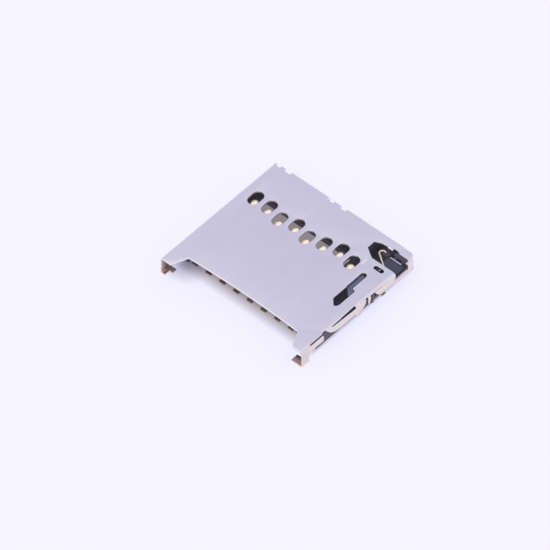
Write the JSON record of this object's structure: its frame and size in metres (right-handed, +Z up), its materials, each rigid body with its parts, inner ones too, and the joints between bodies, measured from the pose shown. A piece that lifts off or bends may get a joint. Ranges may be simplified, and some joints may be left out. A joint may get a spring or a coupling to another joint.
{
  "type": "microsd card connector",
  "caption": "Low push-push socket for a small memory card, with a stamped steel cover, moulded base, spring contacts, sprung slider and wire cam pin.",
  "frame": {"origin": "under the middle of the cover, on the board plane that the feet and tails are soldered to", "axes": "+X across the card, from the side without the slider to the side with it; +Y the way the card is pushed in; +Z up from the board"},
  "size_m": [0.0114, 0.0104, 0.0014],
  "materials": {
    "cover_steel": "satin stamped stainless sheet, bright at the bends",
    "housing_plastic": "matte moulded glass-filled plastic",
    "contact_metal": "gold-plated spring alloy, satin",
    "slider_plastic": "matte moulded plastic, greyer than the base",
    "wire_steel": "bright drawn spring wire"
  },
  "bodies": {
    "base": {"shell": "cover_steel", "housing": "housing_plastic", "contact_1": "contact_metal", "contact_2": "contact_metal", "contact_3": "contact_metal", "contact_4": "contact_metal", "contact_5": "contact_metal", "contact_6": "contact_metal", "contact_7": "contact_metal", "contact_8": "contact_metal", "detect_spring": "contact_metal", "detect_contact": "contact_metal", "eject_spring": "wire_steel"},
    "slider": {"slider": "slider_plastic", "card_lock": "cover_steel"},
    "cam_pin": {"cam_pin": "wire_steel"}
  },
  "joints": [
    {"name": "slider_slide", "type": "slide", "parent": "base", "child": "slider", "axis": [0, 1, 0], "range_m": [0, 0.0008], "stiffness_N_per_m": 600, "springref_m": -0.0005, "deforming": ["eject_spring"]},
    {"name": "cam_pin_swing", "type": "hinge", "parent": "base", "child": "cam_pin", "pos_m": [0.00394, 0.00428, 0], "axis": [0, 0, 1], "range_deg": [0, 18]}
  ]
}
